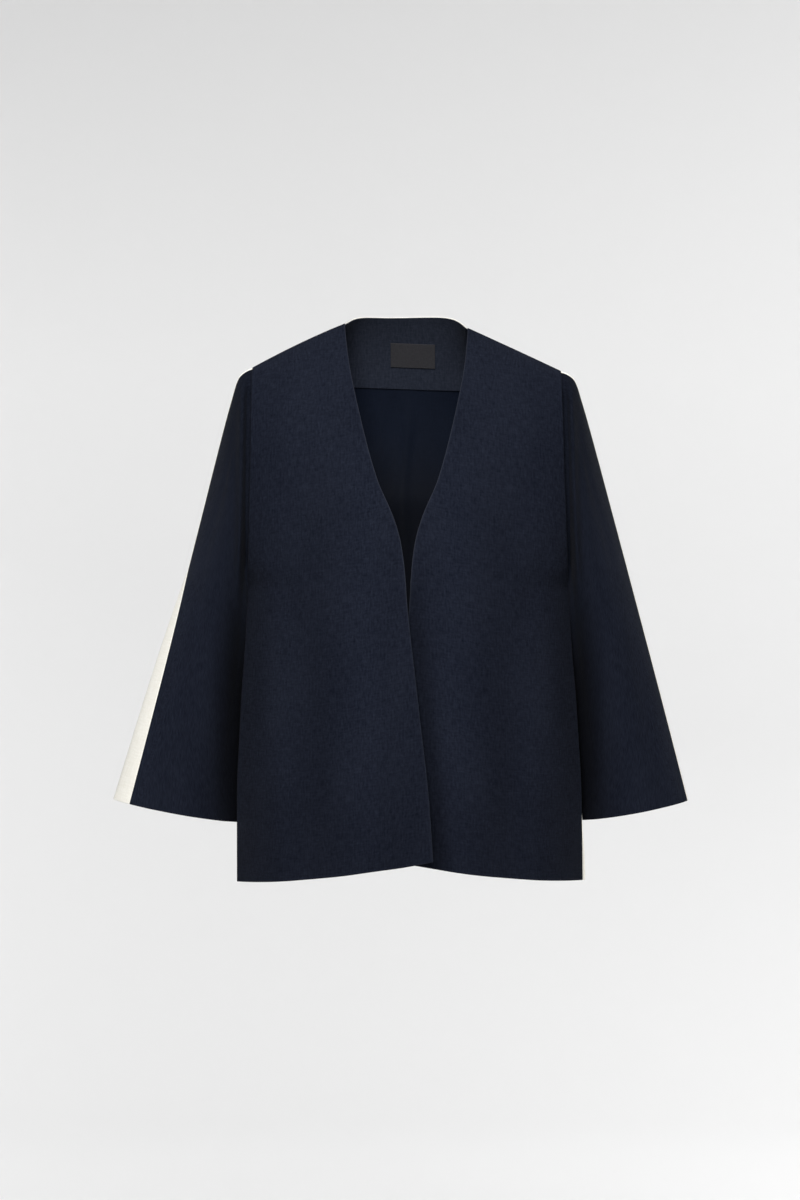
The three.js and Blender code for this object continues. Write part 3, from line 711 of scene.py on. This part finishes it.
def makeFront(name, node, side, creases, seed):
    wall, width = cut["frontWall"], cut["panelWidth"]
    lowers, uppers, away = rowPlaces(fronts["lowerRows"], fronts["upperRows"], wall / 2)
    shares = stations(width, fronts["columns"], wall / 2)
    lower, upper, share = lowers[:, None], uppers[:, None], shares[None, :]
    edgeZ = mix(mix(cut["frontCornerZ"], cut["underarmZ"], lower), 0, upper)
    sideZ = mix(mix(sideHemAt(side), cut["underarmZ"], lower), cut["tipZ"], upper)
    reach = mix(frontEdgeAt(edgeZ)["reach"], sectionAt(sideZ)["half"], share)
    bow = cut["hemBow"] * arched(share) * (1 - lower) ** 2
    arch = (shoulderZ(reach) - mix(0, cut["tipZ"], share)) * upper ** fronts["archPower"]
    z = mix(edgeZ, sideZ, share) - bow + arch
    over = side < 0
    lap = -lapShift(reach, z, fronts["lapOver"]) if over else lapShift(reach, z, fronts["lapUnder"])
    # this side's half of the gap at the shoulder seam and the side seam
    atSeam = bell(cut["upperLength"] * (1 - upper), fronts["seamEase"]) + (share > lastPlace) * (upper <= 0)
    y = frontDepth(reach, z) + lap - halfGap * atSeam
    nearSide = 1 - smooth(width * (1 - share), 0, fronts["seamReach"])
    reach = reach + fronts["seamOut"] * nearSide * (1 - upper) ** fronts["seamFade"]
    points = np.stack([side * reach, y, z], axis=-1)
    relief = creaseHeight(reach, z, creases) + unevenness(reach, z, fronts["uneven"], seed)
    points = points + gridNormals(points, side) * (relief * heldFlat(share, upper))[..., None]
    atShoulder = shoulderRows(uppers, wall / 2)
    normals = seamTurn(gridNormals(points, side), uppers, range(-edgeCount, 0), atShoulder)
    across, along = runningLength(points, 1), runningLength(points, 0)
    straight = fronts["grainAt"]
    fixed = np.array([np.interp(straight, row, length) for row, length in zip(reach, across)])
    grain = (across - fixed[:, None] + straight, along)
    edge = fronts["edgeWearAndHighlight"]
    opening = (1 - edge["lost"] * smooth(z, *edge["wornZ"])) * bell(width * share, edge["width"])
    hem = edge["atHem"] * bell(away[:, None], edge["width"]) * (lower < 0.5)
    piece = wallPiece(name, points, normals, wall, away, fromEdge(shares, width), grain, navyDenim,
                      np.maximum(opening, hem), frontPaintedLight(reach, z, not over))
    dress(piece, node)


makeFront("rightFront", "front_right", -1, fronts["rightCreases"], 1.3)
makeFront("leftFront", "front_left", 1, fronts["leftCreases"], 2.9)


# Back, with its neck edge

back = {
    "columns": 160, "lowerRows": 95, "upperRows": 115, "fullness": 2.7, "neckShare": 0.42,
    "uneven": 0.6, "seed": 4.1, "seamFade": 8,
    "neckRoundness": 0.8, "neckFlatness": 7, "neckTilt": 4.5, "seamIn": 1.0, "seamReach": 7,
    "hemCorner": {"z": (-545, -655), "out": 3.6},
    "ridgeNeck": 0.54, "ridgeTip": 0.62,
    "folds": table("at out width", [
        (-128, 4.3, 18), (-84, -4.3, 18), (-38, 6.5, 22), (14, -5.1, 20),
        (62, 7.2, 22), (108, -4.3, 17), (144, 3.6, 15),
    ]),
    "creases": table(creaseColumns, [
        ((-165, -270), (-110, -400), -3.2, 10, 8),
        ((165, -280), (115, -420), -2.9, 10, -8),
        ((-150, -160), (-95, -240), 2.5, 12, -6),
        ((150, -150), (90, -250), 2.3, 13, 6),
        ((-60, -330), (-70, -600), 2.2, 13, 5),
        ((30, -380), (22, -630), -2.5, 12, -4, 0.2),
        ((90, -350), (104, -620), 2, 12, 4, 0.3),
        ((-120, -470), (-128, -650), -2.3, 11, 4, 0.2),
    ]),
}


def backTop(place):
    reach = np.abs(place)
    angle = math.pi / 2 * np.minimum(reach / back["neckShare"], 1)
    neckX = cut["neckHalf"] * np.sin(angle)
    neckY = cut["shoulderY"] + cut["neckDepth"] * np.maximum(np.cos(angle), 0) ** back["neckRoundness"]
    neckShare = neckX / cut["neckHalf"]
    neckZ = cut["neckRise"] * (1 - neckShare ** back["neckFlatness"])
    neckZ = neckZ + back["neckTilt"] * np.sign(place) * neckShare * (1 - neckShare ** 2)
    seamX = mix(cut["neckHalf"], cut["tipX"], ramp(reach, back["neckShare"], 1))
    seamY = cut["shoulderY"] * (1 - ramp(seamX, cut["neckHalf"], cut["tipX"]))
    inNeck = reach <= back["neckShare"]
    x = np.where(inNeck, neckX, seamX) * np.sign(place)
    return x, np.where(inNeck, neckY, seamY), np.where(inNeck, neckZ, shoulderZ(seamX))


def backPoint(place, z):
    topX, topY, topZ = backTop(place)
    low = sectionAt(np.minimum(z, cut["bladeZ"]))
    half = sectionAt(z)["half"]
    depth = sectionDepth(low["back"], low["backCore"], low["backSide"], place, back["fullness"])
    depth = depth + foldsAt(back["folds"], place * half, z)
    # behind the neck the slope's ridge is worked back from the neck edge, which is a cut through it
    inNeck = np.abs(place) < back["neckShare"]
    ease = mix(back["ridgeNeck"], back["ridgeTip"], ramp(np.abs(place), back["neckShare"], 1))
    cutAt = np.clip((topY - cut["shoulderY"]) / (depth - cut["shoulderY"]), 0, 1)
    cutShare = np.where(inNeck, 1 - np.sqrt(np.maximum(1 - cutAt ** (1 / ease), 0)), 0)
    ridgeZ = (topZ - cutShare * cut["bladeZ"]) / (1 - cutShare)
    baseY = np.minimum(topY, cut["shoulderY"])
    dropped = ramp(z, topZ, cut["bladeZ"])
    upperX = half * mix(topX / cut["tipX"], place, dropped)
    upperY = baseY + (depth - baseY) * leaving(ramp(z, ridgeZ, cut["bladeZ"]), ease)
    hanging = z <= cut["bladeZ"]
    return np.stack([np.where(hanging, place * half, upperX), np.where(hanging, depth, upperY), z], axis=-1)


def hemAcross(place):
    return mix(cut["backHemZ"], sideHemAt(place), place ** 2)


def backRelief(x, z):
    return creaseHeight(x, z, back["creases"]) + unevenness(x, z, back["uneven"], back["seed"])


def backSurface(places, lowers, uppers):
    place, lower, upper = places[None, :], lowers[:, None], uppers[:, None]
    z = mix(mix(hemAcross(place), cut["underarmZ"], lower), backTop(place)[2], upper)
    points = backPoint(place + 0 * z, z)
    relief = backRelief(points[..., 0], z) * heldFlat(place, upper)
    return points + gridNormals(points, -1) * relief[..., None]


def makeBack():
    wall, width = cut["backWall"], 2 * cut["panelWidth"]
    lowers, uppers, away = rowPlaces(back["lowerRows"], back["upperRows"], wall / 2)
    shares = stations(width, back["columns"], wall / 2)
    places = shares * 2 - 1
    out = np.abs(places)
    points = backSurface(places, lowers, uppers)
    atShoulder = shoulderRows(uppers, wall / 2) * (out > back["neckShare"])
    atSide = (out > lastPlace) * (uppers <= 0)[:, None]
    points[..., 1] += halfGap * np.maximum(atShoulder, atSide)
    nearSide = 1 - smooth(cut["panelWidth"] * (1 - out), 0, back["seamReach"])
    corner = back["hemCorner"]
    kept = smooth(points[..., 2], *corner["z"]) * (places > 0)
    outwards = mix(-back["seamIn"], corner["out"], kept) * nearSide
    points[..., 0] += np.sign(places) * outwards * ((1 - uppers) ** back["seamFade"])[:, None]
    normals = seamTurn(gridNormals(points, -1), uppers, range(-edgeCount, edgeCount), atShoulder)
    across = runningLength(points, 1)
    grain = (across - across[:, [len(places) // 2]], runningLength(points, 0))
    piece = wallPiece("backPanel", points, normals, wall, away, fromEdge(shares, width), grain, ecruCloth)
    dress(piece, "back")


makeBack()


# Back neck facing, back lining and label, which lie on the back's inner face

# What the facing and the lining take of the back's width. They can't sink into the back, so a trough in
# them is a slight rise instead.
onBack = {"width": 370, "share": 0.917, "troughRise": 0.4}
facing = {
    "wall": 1.2, "gap": 0.6, "columns": 120, "rows": 40, "height": 90, "creases": [],
    "endZ": -71, "endDrop": 24, "dropFrom": 0.5, "rise": 0.3,
    "shoulderSink": 4, "sinkStart": (-0.01, 0.06), "overLining": 0.9, "overEnd": (2, 34),
}


def facingEdge(place):
    return facing["endZ"] - facing["endDrop"] * smooth(np.abs(place), facing["dropFrom"], 1)


def insideGrid(values):
    # places across the back, and steps from the foot of the piece to its top
    rim = values["wall"] / 2
    places = (stations(onBack["width"], values["columns"], rim) * 2 - 1) * onBack["share"]
    return places, stations(values["height"], values["rows"], rim)


def insidePiece(name, node, material, values, places, z, depth, paintedLightAndShade=None):
    # z gives the height of every point, and depth how far inside the back's outer face the piece lies
    points = backPoint(places[None, :] + 0 * z, z)
    x = points[..., 0]
    relief = creaseHeight(x, z, values["creases"])
    lift = np.maximum(relief, 0) + np.maximum(-relief, 0) * onBack["troughRise"]
    lift = lift - np.minimum(backRelief(x, z), 0)
    points = points - gridNormals(points, -1) * (depth + lift)[..., None]
    normals = gridNormals(points, -1)
    across, along = runningLength(points, 1), runningLength(points, 0)
    middle = len(places) // 2
    rows, columns = fromEnds(along[:, middle]), fromEnds(across[len(across) // 2])
    grain = (across - across[:, [middle]], along)
    piece = wallPiece(name, points, normals, values["wall"], rows, columns, grain, material, None, paintedLightAndShade)
    dress(piece, node)


def makeFacing():
    places, steps = insideGrid(facing)
    onShoulder = smooth(np.abs(places) - back["neckShare"], *facing["sinkStart"])
    top = backTop(places)[2] + facing["rise"] - facing["shoulderSink"] * onShoulder
    z = mix(facingEdge(places)[None, :], top[None, :], steps[:, None])
    # its lower edge lies over the lining's top edge
    over = 1 - smooth(facing["height"] * steps, *facing["overEnd"])
    depth = cut["backWall"] + facing["gap"] + facing["overLining"] * over[:, None]
    insidePiece("neckFacing", "neck_facing", facingLitCloth, facing, places, z, depth)


lining = {
    "wall": 1.0, "columns": 110, "rows": 150, "height": 580, "aboveHem": 14, "underFacing": 4,
    # painted shade on the lining, towards the foot of the neck opening
    "paintedShadow": {"z": (-115, -245), "by": 0.66},
    "creases": table(creaseColumns, [
        ((-48, -92), (-42, -240), -1.6, 4, 2, 0.6),
        ((-30, -88), (-36, -210), 1.0, 5, -2, 0.6),
        ((22, -90), (26, -230), -1.1, 5, 2, 0.6),
        ((44, -95), (36, -260), 0.9, 6, -3, 0.6),
        ((0, -80), (-3, -330), 2.2, 6, 2, 0.3),
    ]),
}


def makeLining():
    places, steps = insideGrid(lining)
    bottom = hemAcross(places) + lining["aboveHem"]
    z = mix(bottom[None, :], facingEdge(places)[None, :] + lining["underFacing"], steps[:, None])
    # painted shade: it darkens towards the foot of the neck opening, where the fronts shadow it
    paintedShadow = lining["paintedShadow"]
    paintedLightAndShade = -paintedShadow["by"] * smooth(z, *paintedShadow["z"])
    insidePiece("backLining", "back_lining", liningCloth, lining, places, z,
                cut["backWall"] + cut["seamGap"], paintedLightAndShade)


label = {
    "wall": 0.9, "gap": 0.3, "columns": 40, "rows": 24, "width": 55, "height": 29, "x": 8, "topZ": -15.5,
    "puff": 0.35, "halvings": 30,
}


def placeAt(x, z):
    # the place across the back that lies at a distance x from the centre, at a height
    low, high = -back["neckShare"] + 0 * x, back["neckShare"] + 0 * x
    for _ in range(label["halvings"]):
        middle = (low + high) / 2
        left = backPoint(middle, z)[..., 0] < x
        low, high = np.where(left, middle, low), np.where(left, high, middle)
    return (low + high) / 2


def makeLabel():
    rim, half = label["wall"] / 2, label["width"] / 2
    x = label["x"] + (stations(label["width"], label["columns"], rim) * 2 - 1) * half
    z = label["topZ"] - label["height"] * (1 - stations(label["height"], label["rows"], rim))
    x, z = np.meshgrid(x, z)
    points = backPoint(placeAt(x, z), z)
    depth = cut["backWall"] + facing["gap"] + facing["wall"] + label["gap"]
    swollen = np.sin(math.pi * (x - x.min()) / np.ptp(x)) * np.sin(math.pi * (z - z.min()) / np.ptp(z))
    points = points - gridNormals(points, -1) * (depth + label["puff"] * swollen)[..., None]
    across, along = runningLength(points, 1), runningLength(points, 0)
    piece = wallPiece("neckLabel", points, gridNormals(points, -1), label["wall"], fromEnds(along[:, 0]),
                      fromEnds(across[0]), (across, along), labelCloth)
    dress(piece, "label")


makeFacing()
makeLining()
makeLabel()


# Sleeves: each has a navy front half and an ecru back half that comes round to the overarm seam

sleeves = {
    "steps": 165, "columns": 72, "wrapColumns": 14, "wrapEnds": (0.97, 0.995, 1),
    "length": 540, "width": 170, "evenShare": 0.35, "sideShare": 0.125, "uneven": 0.45,
    "besideHead": (4, 45), "besideSide": (4, 30),
    "armholeBlend": 0.3, "cuffStart": 0.7, "cuffDip": 0.9,
    "cuffDropRight": {"outer": 0, "inner": 2.6}, "cuffDropLeft": {"outer": 1.6, "inner": 0.2},
    "turnedOverX": 21, "turnStart": 0.48, "turnEase": 0.8, "seamShare": 0.006,
    "frontOuter": 0.75, "frontInner": 0.75, "backOuter": 0.75, "backInner": 0.9,
    "rings": table("t overX overY overZ tuck underY underZ", [
        (0, 185.4, 0, -52.9, 0.4, -26, -318),
        (0.015, 192, 0.5, -56, 1.8, -23, -322),
        (0.03, 198, 1, -60, 2.4, -19, -327),
        (0.042, 202, 1.3, -65, 2.1, -15, -331),
        (0.085, 209.6, 2, -88, 1.2, -7, -343),
        (0.22, 229.5, 4, -160, 0.8, 1, -380),
        (0.36, 248.4, 6, -232, 0.7, 5, -418),
        (0.5, 267.8, 8, -306, 0.6, 8, -457),
        (0.75, 301.9, 10, -437, 0.2, 11, -527),
        (1, 335.9, 12, -569.5, -0.6, 13, -595),
    ]),
    "bulges": table("t frontBulge backBulge", [(0, 52, 58), (0.35, 55, 52), (0.7, 52, 45), (1, 46, 40)]),
    "headFolds": table("off out width", [(3.0, -14, 3.4), (10.5, 4.2, 3.6), (17.5, -3, 4.6)]),
    "headFoldStart": (-62, -92), "headFoldEnd": (-280, -350), "headFoldOff": (-3, 0.5), "headFoldBehind": 0.6,
    "tuckIn": 2.5, "tuckDeep": 2.6, "tuckAtSides": 0.4, "tuckEnd": 0.016, "sewnEnd": 0.01,
    "tuckAtTop": 4.4, "topStart": (-0.01, 0.015),
    "tuckBehind": 3, "behindStart": (0.06, 0.2), "tuckShare": 0.12,
    # painted shade beside the body, and a painted highlight towards the overarm seam
    "paintedShade": {"atTop": 0.35, "by": 0.82, "width": 20, "t": (0.1, 0.5)},
    "worn": {"by": 0.22, "width": 16, "t": (0.12, 0.4)},
    "frontCreases": table(creaseColumns, [
        ((60, 60), (40, 260), -1.2, 9, 6),
        ((110, 120), (80, 420), 1.0, 12, -6),
        ((40, 300), (46, 530), -1.0, 11, 5, 0.2),
    ]),
    "backCreases": table(creaseColumns, [
        ((70, 60), (50, 280), -2.4, 10, 6),
        ((120, 100), (90, 400), 2.2, 12, -6),
        ((50, 260), (56, 530), -2, 11, 5, 0.2),
    ]),
}
ringAt = curveOf(sleeves["rings"], "t")
bulgeAt = curveOf(sleeves["bulges"], "t")


def swell(share, outer, inner):
    # a bulge from 0 up to 1 and back, with a roundness of its own at each edge
    peak = outer / (outer + inner)
    top = peak ** outer * (1 - peak) ** inner
    share = np.clip(share, 0, 1)
    return share ** outer * (1 - share) ** inner / top


def turnedBy(side, t):
    # how far the right sleeve's ecru half comes round to the front
    if side > 0:
        return 0 * t
    return sleeves["turnedOverX"] * ramp(t, sleeves["turnStart"], 1) ** sleeves["turnEase"]


def inFromSides(share):
    return np.minimum(1, np.minimum(share, 1 - share) / sleeves["sideShare"])


def headFold(x, z, onFront, share):
    off = x - sectionAt(z)["half"]
    fade = smooth(z, *sleeves["headFoldStart"]) * (1 - smooth(z, *sleeves["headFoldEnd"]))
    fold = sum(row["out"] * bell(off - row["off"], row["width"]) for row in sleeves["headFolds"])
    towards = -1 if onFront else sleeves["headFoldBehind"]
    return towards * fold * fade * inFromSides(share) * smooth(off, *sleeves["headFoldOff"])


def sleevePoint(side, t, share, onFront):
    ring, bulge = ringAt(t), bulgeAt(t)
    overX = ring["overX"] + turnedBy(side, t)
    underX = sectionAt(ring["underZ"])["half"] + ring["tuck"]
    # the cuff hangs a little lower between its two edges, and one edge lower than drawn
    drop = sleeves["cuffDropRight"] if side < 0 else sleeves["cuffDropLeft"]
    dip = sleeves["cuffDip"] * arched(share) + mix(drop["outer"], drop["inner"], share)
    dip = dip * ramp(t, sleeves["cuffStart"], 1) ** 2
    straightZ = mix(ring["overZ"], ring["underZ"], share)
    sewnX = sectionAt(straightZ)["half"] + ring["tuck"]
    # the sleeve comes out from under the armhole's edge
    tucked = 1 - smooth(t, 0, sleeves["tuckEnd"])
    sides = inFromSides(share)
    low = share > 0.5
    inwards = sleeves["tuckIn"] * np.where(low, 1, mix(sleeves["tuckAtSides"], 1, sides))
    x = mix(sewnX - inwards, mix(overX, underX, share), smooth(t, 0, sleeves["sewnEnd"]))
    behind = sleeves["tuckAtTop"] * smooth(t, *sleeves["topStart"])
    behind = behind + sleeves["tuckBehind"] * smooth(t, *sleeves["behindStart"])
    x = x - behind * smooth(share, 1 - sleeves["tuckShare"], 1)
    z = straightZ - dip + sleeves["tuckIn"] * tucked * (1 - sides) * low
    chordY = mix(ring["overY"], ring["underY"], share)
    seamZ = mix(cut["tipZ"], cut["underarmZ"], share)
    if onFront:
        free = chordY - bulge["frontBulge"] * swell(share, sleeves["frontOuter"], sleeves["frontInner"])
        sewn = frontDepth(sectionAt(seamZ)["half"], seamZ)
    else:
        free = chordY + bulge["backBulge"] * swell(share, sleeves["backOuter"], sleeves["backInner"])
        sewn = backPoint(np.ones_like(seamZ), seamZ)[..., 1]
    atSides = sleeves["tuckAtSides"] * (1 - sides) * low
    deep = sleeves["tuckDeep"] * tucked * (sides * (1 if onFront else -1) + atSides)
    y = mix(sewn, free, smooth(t, 0, sleeves["armholeBlend"])) + headFold(x, z, onFront, share) + deep
    return np.stack([side * x, y, z], axis=-1)


def sleeveNormals(points, onFront):
    # a front half's outer face looks forwards, and a back half's looks backwards
    normals = gridNormals(points, 1)
    return normals * np.sign(np.median(normals[..., 1])) * (-1 if onFront else 1)


def sleevePaintedLight(points, t):
    # painted shade beside the body, where the sleeve falls into the body's shadow, and a painted highlight
    # towards the overarm seam, where the cloth turns away and takes a sheen
    out = np.abs(points[..., 0])
    paintedShade, worn = sleeves["paintedShade"], sleeves["worn"]
    fromBody = np.maximum(out - sectionAt(points[..., 2])["half"], 0)
    darker = mix(paintedShade["atTop"], paintedShade["by"], smooth(t, *paintedShade["t"]))
    fromSeam = out.max(axis=1, keepdims=True) - out
    lighter = worn["by"] * bell(fromSeam, worn["width"]) * smooth(t, *worn["t"])
    return lighter - darker * bell(fromBody, paintedShade["width"])


def makeSleeve(name, node, side, onFront, seed):
    wall = cut["sleeveWall"]
    rim = wall / 2
    steps = stations(sleeves["length"], sleeves["steps"], rim)
    t = steps[:, None]
    ring = ringAt(t)
    turned = turnedBy(side, t)
    span = ring["overX"] + turned - sectionAt(ring["underZ"])["half"] - ring["tuck"]
    seam = sleeves["seamShare"] + turned / span
    gap = halfGap / np.hypot(span, ring["overZ"] - ring["underZ"])
    down = stations(sleeves["width"], sleeves["columns"], rim)
    eased = mix((1 - np.cos(math.pi * down)) / 2, down, sleeves["evenShare"])[None, :]
    if onFront:
        share = mix(seam + gap, 1, eased)
        points = sleevePoint(side, t + 0 * share, share, True)
        points[:, -1, 1] -= halfGap
    else:
        share = 1 - eased
        points = sleevePoint(side, t + 0 * share, share, False)
        points[:, 0, 1] += halfGap
        # it goes on round the outer edge to the overarm seam
        around = np.concatenate([np.linspace(0, 1, sleeves["wrapColumns"])[1:-1], sleeves["wrapEnds"]])
        wrapped = around[None, :] * (seam - gap)
        front = sleevePoint(side, t + 0 * wrapped, wrapped, True)
        points = np.concatenate([points[:, :-edgeCount], front], axis=1)
    across, along = runningLength(points, 1), runningLength(points, 0)
    held = smooth(along, *sleeves["besideHead"]) * smooth(across, *sleeves["besideSide"])
    held = held * smooth(across[:, -1:] - across, *sleeves["besideSide"])
    creases = sleeves["frontCreases"] if onFront else sleeves["backCreases"]
    relief = creaseHeight(across, along, creases) + unevenness(across, along, sleeves["uneven"], seed)
    points = points + sleeveNormals(points, onFront) * (relief * held)[..., None]
    normals = sleeveNormals(points, onFront)
    normals[:edgeCount] *= np.array([0, 1, 1])
    grain = (across - across[:, [points.shape[1] // 2]], -along)
    rows, columns = fromEdge(steps, sleeves["length"]), fromEnds(across[len(steps) // 2])
    slot, material = ("navy_denim", navyDenim) if onFront else ("ecru_cloth", ecruCloth)
    paintedLightAndShade = sleevePaintedLight(points, t) if onFront else None
    piece = wallPiece(name, points, unit(normals), wall, rows, columns, grain, material, None, paintedLightAndShade)
    dress(piece, node)


makeSleeve("rightSleeveFront", "sleeve_front_right", -1, True, 5.2)
makeSleeve("leftSleeveFront", "sleeve_front_left", 1, True, 6.7)
makeSleeve("rightSleeveBack", "sleeve_back_right", -1, False, 7.3)
makeSleeve("leftSleeveBack", "sleeve_back_left", 1, False, 8.9)
